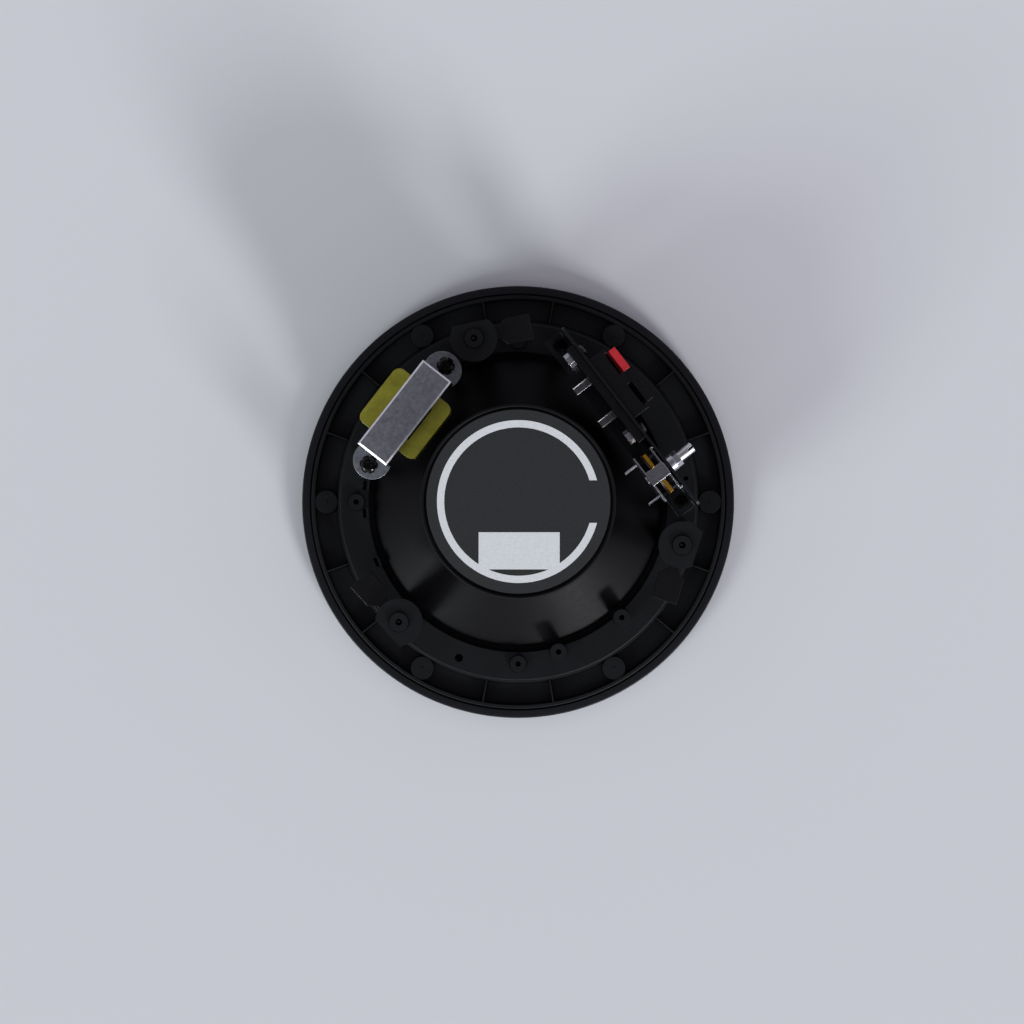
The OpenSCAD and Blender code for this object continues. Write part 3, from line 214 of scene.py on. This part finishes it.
# Lighter zinc for the strap's sloped edges: a painted highlight along its bends
paintedHighlightZinc = makeMaterial({
    "name": "paintedHighlightZincEdge", "dark": "#BEC0C8", "light": "#D8DAE2", "mottleMm": 3, "grainMm": 0.5,
    "roughness": (0.3, 0.38), "bump": 0.03, "metallic": 1.0, "edgeMm": 0.2})
# Nickel plate on small hardware: brighter and smoother than zinc
nickelPlate = makeMaterial({
    "name": "nickelPlatedSteel", "dark": "#BDBFC8", "light": "#D2D4DC", "mottleMm": 4, "grainMm": 0.35,
    "roughness": (0.22, 0.34), "bump": 0.02, "metallic": 1.0, "edgeMm": 0.35})
# Dull tin on the stamped solder tabs, brushed along their length
tinPlate = makeMaterial({
    "name": "tinPlatedBrass", "dark": "#66676B", "light": "#8A8B90", "mottleMm": 2.5, "grainMm": 0.4,
    "roughness": (0.3, 0.42), "bump": 0.05, "metallic": 1.0, "edgeMm": 0.8})
# Turned aluminium of the selector's shaft and the tweeter's post: pale and bright
turnedAluminium = makeMaterial({
    "name": "turnedAluminium", "dark": "#C4C6CC", "light": "#DCDEE4", "mottleMm": 5, "grainMm": 0.25,
    "roughness": (0.24, 0.34), "bump": 0.04, "metallic": 1.0, "edgeMm": 0.3})
# Gilt brass contact springs: warm and bright yellow
giltBrass = makeMaterial({
    "name": "giltBrass", "dark": "#DC9C2A", "light": "#F6C04C", "mottleMm": 2, "grainMm": 0.3,
    "roughness": (0.2, 0.32), "bump": 0.05, "metallic": 1.0, "edgeMm": 0.35})
# Turned brass of the threaded inserts: a duller yellow with tool marks
turnedBrass = makeMaterial({
    "name": "turnedBrass", "dark": "#A07C3C", "light": "#C09A55", "mottleMm": 4, "grainMm": 0.3,
    "roughness": (0.25, 0.38), "bump": 0.15, "metallic": 1.0, "edgeMm": 0.15})
# Label on the cover: a charcoal film with a fine eggshell tooth
labelFilm = makeMaterial({
    "name": "charcoalLabelFilm", "dark": "#181A1D", "light": "#24262A", "mottleMm": 0.9, "grainMm": 0.5,
    "roughness": (0.5, 0.68), "bump": 0.3, "edgeMm": 0.1, "specular": 0.35})
# Screen printed ink: pale grey, slightly uneven where it lies thin
printInk = makeMaterial({
    "name": "screenPrintedInk", "dark": "#BCC0C7", "light": "#CED2D9", "mottleMm": 0.8, "grainMm": 0.5,
    "roughness": (0.55, 0.7), "bump": 0.2, "edgeMm": 0.05})
# Polyester tape on the coil: olive yellow, glossy, wound in layers
coilTape = makeMaterial({
    "name": "polyesterTape", "dark": "#757120", "light": "#96922F", "mottleMm": 9, "grainMm": 1.2,
    "roughness": (0.26, 0.4), "bump": 0.12, "edgeMm": 0.5})
# Silicon steel laminations: blue grey with a thin oxide
laminations = makeMaterial({
    "name": "laminatedSiliconSteel", "dark": "#2E3034", "light": "#4A4C52", "mottleMm": 5, "grainMm": 0.6,
    "roughness": (0.4, 0.55), "bump": 0.2, "metallic": 0.8, "edgeMm": 0.1})
# Nylon of the bobbin and the clamp arms: black, with pale glints on its rounded edges
nylon = makeMaterial({
    "name": "mouldedBlackNylon", "dark": "#050506", "light": "#09090B", "mottleMm": 10, "grainMm": 0.5,
    "roughness": (0.3, 0.38), "bump": 0.2, "edgeMm": 0.5, "specular": 0.33, "sheenTint": "#EDF1FF"})
# Red lever: moulded colour with a satin face
redAbs = makeMaterial({
    "name": "mouldedRedAbs", "dark": "#A81C26", "light": "#C22A33", "mottleMm": 8, "grainMm": 0.4,
    "roughness": (0.34, 0.46), "bump": 0.2, "edgeMm": 0.3})
# Pale nylon rotor of the selector: milky, with a soft sheen
paleNylon = makeMaterial({
    "name": "paleMouldedNylon", "dark": "#CFCCC2", "light": "#E4E2DA", "mottleMm": 6, "grainMm": 0.4,
    "roughness": (0.4, 0.5), "bump": 0.15, "edgeMm": 0.2})
# Phenolic board under the contacts: dark brown, with a fine paper fleck
phenolic = makeMaterial({
    "name": "phenolicBoard", "dark": "#2B1D12", "light": "#47301D", "mottleMm": 1.5, "grainMm": 0.4,
    "roughness": (0.42, 0.56), "bump": 0.2, "edgeMm": 0.1})
# Closed cell foam of the gaskets: matt, with a finely pitted skin
foam = makeMaterial({
    "name": "closedCellFoam", "dark": "#0E0E0F", "light": "#171719", "mottleMm": 1.2, "grainMm": 0.6,
    "roughness": (0.8, 0.95), "bump": 0.7, "edgeMm": 0.3})
# Butyl rubber of the surround: an even dark grey, neither matt nor glossy
butylRubber = makeMaterial({
    "name": "butylRubber", "dark": "#121213", "light": "#1B1B1C", "mottleMm": 12, "grainMm": 0.5,
    "roughness": (0.5, 0.64), "bump": 0.2, "edgeMm": 0.3})
# Pulp paper of the cone: short fibres in a matt sheet
pulpPaper = makeMaterial({
    "name": "pulpPaper", "dark": "#1D1D20", "light": "#2C2C31", "mottleMm": 0.8, "grainMm": 0.35,
    "roughness": (0.8, 0.92), "bump": 0.6, "edgeMm": 0.1})
# Kraft paper of the former: pale brown and matt
kraftPaper = makeMaterial({
    "name": "kraftPaper", "dark": "#B39A74", "light": "#CBB48E", "mottleMm": 2, "grainMm": 0.4,
    "roughness": (0.7, 0.85), "bump": 0.3, "edgeMm": 0.1})
# Enamelled copper wire of the winding: glossy red brown
copperWire = makeMaterial({
    "name": "enamelledCopperWire", "dark": "#9A4F20", "light": "#C4703A", "mottleMm": 2, "grainMm": 0.25,
    "roughness": (0.25, 0.4), "bump": 0.5, "metallic": 0.8, "edgeMm": 0.05})
# Treated cotton of the spider: a tan cloth, matt and rough
treatedCotton = makeMaterial({
    "name": "treatedCotton", "dark": "#9C7430", "light": "#C49A50", "mottleMm": 1, "grainMm": 0.5,
    "roughness": (0.75, 0.9), "bump": 0.8, "edgeMm": 0.1})
# Sintered ferrite of the ring magnet: dull dark grey, slightly pitted
ferrite = makeMaterial({
    "name": "sinteredFerrite", "dark": "#2A2A2C", "light": "#3B3B3D", "mottleMm": 3, "grainMm": 0.5,
    "roughness": (0.6, 0.75), "bump": 0.4, "edgeMm": 0.5})
# Silk of the tweeter's dome: dark, with a faint sheen from its coating
silk = makeMaterial({
    "name": "coatedSilk", "dark": "#141416", "light": "#202023", "mottleMm": 1, "grainMm": 0.4,
    "roughness": (0.45, 0.6), "bump": 0.4, "edgeMm": 0.1})
print("materials made:", len(bpy.data.materials))

dress(mouldedAbs, "baffle", "selector_spacers", "tweeter_housing")
dress(terminalPlastic, "terminal_body", "black_lever")
dress(powderCoat, "grille", "terminal_bracket")
dress(stoveEnamel, "basket")
dress(glossMoulding, "magnet_cover")
dress(phosphateHoleShade, "driver_screws", "bracket_screws")
dress(blackOxide, "terminal_screws", "clamp_screw_1", "clamp_screw_2", "clamp_screw_3")
dress(blackZinc, "transformer_screws", "transformer_washers")
dress(zincPlate, "transformer_strap", "top_plate", "yoke", "grille_magnets")
dress(brightZinc, "selector_frame")
dress(tinPlate, "solder_tabs")
dress(nickelPlate, "tweeter_nut", "terminal_nuts", "selector_bushing", "selector_nut",
      "selector_collar", "selector_rods")
dress(turnedAluminium, "selector_shaft", "tweeter_post")
dress(giltBrass, "selector_contacts")
dress(turnedBrass, "clamp_nut_1", "clamp_nut_2", "clamp_nut_3")
dress(labelFilm, "cover_label")
dress(printInk, "label_print")
dress(coilTape, "transformer_coil")
dress(laminations, "transformer_core")
dress(nylon, "transformer_bobbin", "clamp_arm_1", "clamp_arm_2", "clamp_arm_3")
dress(redAbs, "red_lever")
dress(paleNylon, "selector_rotor")
dress(phenolic, "selector_wafer")
dress(foam, "driver_gasket", "front_ring")
dress(butylRubber, "surround")
dress(pulpPaper, "cone")
dress(kraftPaper, "coil_former")
dress(copperWire, "coil_winding")
dress(treatedCotton, "spider")
dress(ferrite, "ring_magnet")
dress(silk, "tweeter_dome")
print("nodes dressed")


def onCircle(radius, degrees):
    return radius * math.cos(math.radians(degrees)), radius * math.sin(math.radians(degrees))


def shadeSmooth(mesh, sharpDegrees):
    for face in mesh.polygons:
        face.use_smooth = True
    mesh.set_sharp_from_angle(angle=math.radians(sharpDegrees))


def applyModifiers(piece):
    shape = piece.evaluated_get(bpy.context.evaluated_depsgraph_get())
    mesh = bpy.data.meshes.new_from_object(shape)
    piece.modifiers.clear()
    piece.data = mesh


# Grille: sheet steel punched with small round holes, deep drawn to a pan with its lip turned in
grille = {
    "radius": 118, "sheet": 0.9, "height": 8, "lip": 4.2, "bend": 4, "corner": 0.8,
    "holeRadius": 1.3, "pitch": 4.0, "punchedTo": 108, "border": 111, "steps": 180, "sharpDegrees": 40}


def grillePan(size):
    bm = bmesh.new()
    corners = {}

    def cornerAt(x, y):
        key = (round(x, 2), round(y, 2))
        if key not in corners:
            corners[key] = bm.verts.new((x * mm, y * mm, 0))
        return corners[key]

    # A hole of twelve sides in a cell of six, whose corners stand beyond every other corner of the hole
    pitch = size["pitch"]
    holeOutline = [onCircle(size["holeRadius"], 30 * k) for k in range(12)]
    cellOutline = [onCircle(pitch / math.sqrt(3), 30 + 60 * k) for k in range(6)]
    rowPitch = pitch * math.sqrt(3) / 2
    reach = int(size["punchedTo"] / rowPitch) + 2
    for row in range(-reach, reach + 1):
        for column in range(-reach, reach + 1):
            x = (column + row / 2) * pitch
            y = row * rowPitch
            if math.hypot(x, y) > size["punchedTo"]:
                continue
            ring = [bm.verts.new(((x + across) * mm, (y + along) * mm, 0)) for across, along in holeOutline]
            cell = [cornerAt(x + across, y + along) for across, along in cellOutline]
            for k in range(6):
                here, after = cell[k], cell[(k + 1) % 6]
                first, middle, last = [ring[(2 * k + step) % 12] for step in (1, 2, 3)]
                bm.faces.new((here, middle, first))
                bm.faces.new((here, after, middle))
                bm.faces.new((after, last, middle))
    # The jagged outer line of the punched field, filled out to a true circle
    isCorner = set(corners.values())
    jagged = [e for e in bm.edges if e.is_boundary and e.verts[0] in isCorner and e.verts[1] in isCorner]
    steps = size["steps"]

    def wholeRing(radius, height):
        points = [onCircle(radius, 360 * k / steps) for k in range(steps)]
        return [bm.verts.new((x * mm, y * mm, height * mm)) for x, y in points]

    circle = wholeRing(size["border"], 0)
    around = [bm.edges.new((circle[k], circle[(k + 1) % steps])) for k in range(steps)]
    bmesh.ops.triangle_fill(
        bm, edges=jagged + around, use_beauty=True, use_dissolve=False, normal=(0, 0, -1))
    # Drawn wall and turned lip
    r, b, c, h = size["radius"], size["bend"], size["corner"], size["height"]
    bend = [onCircle(b, degrees) for degrees in range(-90, 1, 15)]
    corner = [onCircle(c, degrees) for degrees in (0, 22.5, 45, 67.5, 90)]
    profile = [(r - b + across, b + up) for across, up in bend]
    profile += [(r - c + across, h - c + up) for across, up in corner]
    profile.append((r - size["lip"], h))
    before = circle
    for radius, height in profile:
        ring = wholeRing(radius, height)
        for k in range(steps):
            bm.faces.new((before[k], before[(k + 1) % steps], ring[(k + 1) % steps], ring[k]))
        before = ring
    # The sheet's faces have to look outwards, so the one nearest the middle looks down
    bmesh.ops.recalc_face_normals(bm, faces=bm.faces)
    if min(bm.faces, key=lambda f: f.calc_center_median().length).normal.z > 0:
        bmesh.ops.reverse_faces(bm, faces=bm.faces)
    return bm


pan = newPiece("grille_pan", grillePan(grille), powderCoat, "speaker", "grille")
thick = pan.modifiers.new("sheet", "SOLIDIFY")
thick.thickness = grille["sheet"] * mm
thick.offset = -1
thick.use_even_offset = True
applyModifiers(pan)
shadeSmooth(pan.data, grille["sharpDegrees"])
print("grille pan:", len(pan.data.polygons), "faces")

# Clamp screws: a coarse rolled thread on the CAD screw's own head
clampScrew = {
    "firstTurn": 105.2, "count": 3, "out": 89.8, "headTop": 15.5, "sunk": 0.5, "tip": 62.2,
    "crest": 1.75, "root": 1.35, "lead": 2.0, "crestShare": 0.18, "steps": 20, "sharpDegrees": 35}


def threadedScrew(size, turnedHead, x, y):
    # The CAD mesh up to just above the head, then one helical surface up to the tip
    bm = bmesh.new()
    bm.from_mesh(turnedHead)
    bmesh.ops.bisect_plane(bm, geom=bm.verts[:] + bm.edges[:] + bm.faces[:], dist=1e-6,
                           plane_co=(0, 0, size["headTop"] * mm), plane_no=(0, 0, 1), clear_outer=True)
    steps, lead = size["steps"], size["lead"]
    flat = size["crestShare"] * lead / 2
    outline = [(size["root"], 0.0), (size["crest"], lead / 2 - flat), (size["crest"], lead / 2 + flat)]
    start = size["headTop"] - size["sunk"]
    rowCount = int((size["tip"] - lead - start) / lead * steps)
    rows = []
    for k in range(rowCount + steps + 1):
        low = start + lead * k / steps
        row = []
        for radius, up in outline:
            across, along = onCircle(radius, 360 * k / steps)
            row.append(bm.verts.new(((x + across) * mm, (y + along) * mm, (low + up) * mm)))
        rows.append(row)
    for k in range(rowCount):
        this, following = rows[k], rows[k + 1]
        for p in range(2):
            bm.faces.new((this[p], following[p], following[p + 1], this[p + 1]))
        bm.faces.new((this[2], following[2], rows[k + 1 + steps][0], rows[k + steps][0]))
    loose = [v for v in bm.verts if not v.link_faces]
    bmesh.ops.delete(bm, geom=loose, context="VERTS")
    tip = bm.verts.new((x * mm, y * mm, size["tip"] * mm))
    last = rows[rowCount:rowCount + steps + 1]
    for k in range(steps):
        bm.faces.new((last[k][0], last[k + 1][0], tip))
    bm.faces.new((last[0][0], tip, last[0][2], last[0][1]))
    return bm


for i in range(clampScrew["count"]):
    name = f"clamp_screw_{i + 1}"
    x, y = onCircle(clampScrew["out"], clampScrew["firstTurn"] + 360 * i / clampScrew["count"])
    threaded = threadedScrew(clampScrew, nodes[name].data, x, y)
    screw = newPiece(f"threaded_screw_{i + 1}", threaded, blackOxide, name, name)
    shadeSmooth(screw.data, clampScrew["sharpDegrees"])
print("clamp screws threaded")

# Transformer strap: the top of the folded sheet slopes away to its edges, where it catches the light; the
# slopes take a lighter zinc, a painted highlight
strapEdge = {"width": 1.0, "drop": 0.55, "flatDegrees": 1}


def slopedTop(flatStrap, size):
    bm = bmesh.new()
    bm.from_mesh(flatStrap)
    bmesh.ops.remove_doubles(bm, verts=bm.verts, dist=1e-6)
    flat = math.radians(size["flatDegrees"])
    bmesh.ops.dissolve_limit(bm, angle_limit=flat, verts=bm.verts, edges=bm.edges)
    top = max(bm.faces, key=lambda f: f.calc_center_median().z)
    inset = bmesh.ops.inset_region(bm, faces=[top], thickness=size["width"] * mm, use_even_offset=True)
    slopes = inset["faces"]
    for corner in {v for face in slopes for v in face.verts} - set(top.verts):
        corner.co.z -= size["drop"] * mm
    # The slopes take the lighter zinc of the painted highlight
    for face in slopes:
        face.material_index = 1
    return bm


sloped = slopedTop(nodes["transformer_strap"].data, strapEdge)
strap = newPiece("folded_strap", sloped, zincPlate, "speaker", "transformer_strap")
strap.data.materials.append(paintedHighlightZinc)
print("strap's edges sloped")

# Spider and surround: the CAD's rings cut into equal sectors, each a piece of its own.
spiderFlex = {
    "node": "spider", "material": treatedCotton, "sectors": 8,
    "glued": 46.0, "moving": 16.5, "height": 39.4}
surroundFlex = {
    "node": "surround", "material": butylRubber, "sectors": 24,
    "glued": 77.7, "moving": 66.3, "height": 11.4}


def sectorOf(ringMesh, middle, halfWidth):
    bm = bmesh.new()
    bm.from_mesh(ringMesh)
    bmesh.ops.remove_doubles(bm, verts=bm.verts, dist=1e-6)
    for side in (-1, 1):
        away = onCircle(1, middle + side * (halfWidth + 90))
        cut = bmesh.ops.bisect_plane(
            bm, geom=bm.verts[:] + bm.edges[:] + bm.faces[:], dist=1e-7, plane_co=(0, 0, 0),
            plane_no=(*away, 0), clear_outer=True)
        edges = [item for item in cut["geom_cut"] if isinstance(item, bmesh.types.BMEdge)]
        bmesh.ops.triangle_fill(bm, edges=edges, use_beauty=True, use_dissolve=False)
    bmesh.ops.recalc_face_normals(bm, faces=bm.faces)
    return bm


def flexingRing(size):
    name = size["node"]
    for k in range(size["sectors"]):
        middle = 360 * k / size["sectors"]
        bm = sectorOf(nodes[name].data, middle, 180 / size["sectors"])
        sector = addObject(f"{name}_sector_{k + 1}", bm, size["material"])
        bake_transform(sector)
        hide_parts(name)
    print(name, "in", size["sectors"], "sectors")


flexingRing(spiderFlex)
flexingRing(surroundFlex)

# Studio: a pale floor, two soft suns low on either side of the bottom edge, and a dim dome.
# A sun's share is the part of the floor's light that it gives. A dome level is a direction's z and how
# bright the dome is there.
studio = {
    "floorColour": "#C6C9D1", "floorSize": 14.0, "floorDrop": 0.0002, "floorRoughness": 0.9,
    "domeLevels": ((0.05, 0.9), (0.45, 0.95), (0.96, 0.14)), "domeTint": "#FCF7FF",
    "domeFront": 1.45, "domeBack": 0.55}
suns = [
    {"name": "keySun", "turn": -57.8, "height": 19.2, "share": 0.275, "spread": 13.8,
     "colour": "#FFFDFA"},
    {"name": "fillSun", "turn": -136.7, "height": 20.2, "share": 0.205, "spread": 19.4,
     "colour": "#F2FFF0"}]

floorPaint = bpy.data.materials.new("paintedFloor")
floorPaint.use_nodes = True
paint = floorPaint.node_tree.nodes["Principled BSDF"].inputs
paint["Base Color"].default_value = hexColour(studio["floorColour"])
paint["Roughness"].default_value = studio["floorRoughness"]
paint["Specular IOR Level"].default_value = 0.0
bm = bmesh.new()
half = studio["floorSize"] / 2
bm.faces.new([bm.verts.new((x * half, y * half, 0)) for x, y in ((-1, -1), (1, -1), (1, 1), (-1, 1))])
floor = addObject("studioFloor", bm, floorPaint)
floor.location.z = -studio["floorDrop"]

for sun in suns:
    lamp = bpy.data.lights.new(sun["name"], "SUN")
    lamp.energy = sun["share"] * math.pi / math.sin(math.radians(sun["height"]))
    lamp.angle = math.radians(sun["spread"])
    lamp.color = hexColour(sun["colour"])[:3]
    lampObject = bpy.data.objects.new(sun["name"], lamp)
    bpy.context.scene.collection.objects.link(lampObject)
    lampObject.rotation_euler = (math.radians(90 - sun["height"]), 0, math.radians(90 + sun["turn"]))

world = bpy.data.worlds.new("studioDome")
bpy.context.scene.world = world
world.use_nodes = True
tree = world.node_tree
direction = addNode(tree, "ShaderNodeTexCoord").outputs["Generated"]
parts = addNode(tree, "ShaderNodeSeparateXYZ", inputs={"Vector": direction})
dome = addNode(tree, "ShaderNodeValToRGB", inputs={"Fac": parts.outputs["Z"]})
tint = hexColour(studio["domeTint"])[:3]
stops = dome.color_ramp.elements
stops.new(studio["domeLevels"][1][0])
for stop, (place, level) in zip(stops, studio["domeLevels"]):
    stop.position = place
    stop.color = [level * channel for channel in tint] + [1]
# The room is brighter beyond the bottom edge of the view than beyond the top edge
across = addNode(tree, "ShaderNodeMapRange", inputs={
    "Value": parts.outputs["Y"], "From Min": -1.0, "From Max": 1.0,
    "To Min": studio["domeFront"], "To Max": studio["domeBack"]})
tree.links.new(dome.outputs["Color"], tree.nodes["Background"].inputs["Color"])
tree.links.new(across.outputs["Result"], tree.nodes["Background"].inputs["Strength"])

# Camera: straight above, a little left of and below the speaker's axis
view = {"x": -3.33, "y": -5.46, "height": 1808.5, "focus": 8.5, "frameWidth": 559, "sensor": 36}
camera = bpy.data.cameras.new("camera")
camera.sensor_width = view["sensor"]
camera.lens = view["sensor"] * (view["height"] - view["focus"]) / view["frameWidth"]
cameraObject = bpy.data.objects.new("camera", camera)
cameraObject.location = (view["x"] * mm, view["y"] * mm, view["height"] * mm)
bpy.context.scene.collection.objects.link(cameraObject)
bpy.context.scene.camera = cameraObject
bpy.context.scene.view_settings.view_transform = "Standard"
print("studio and camera set")
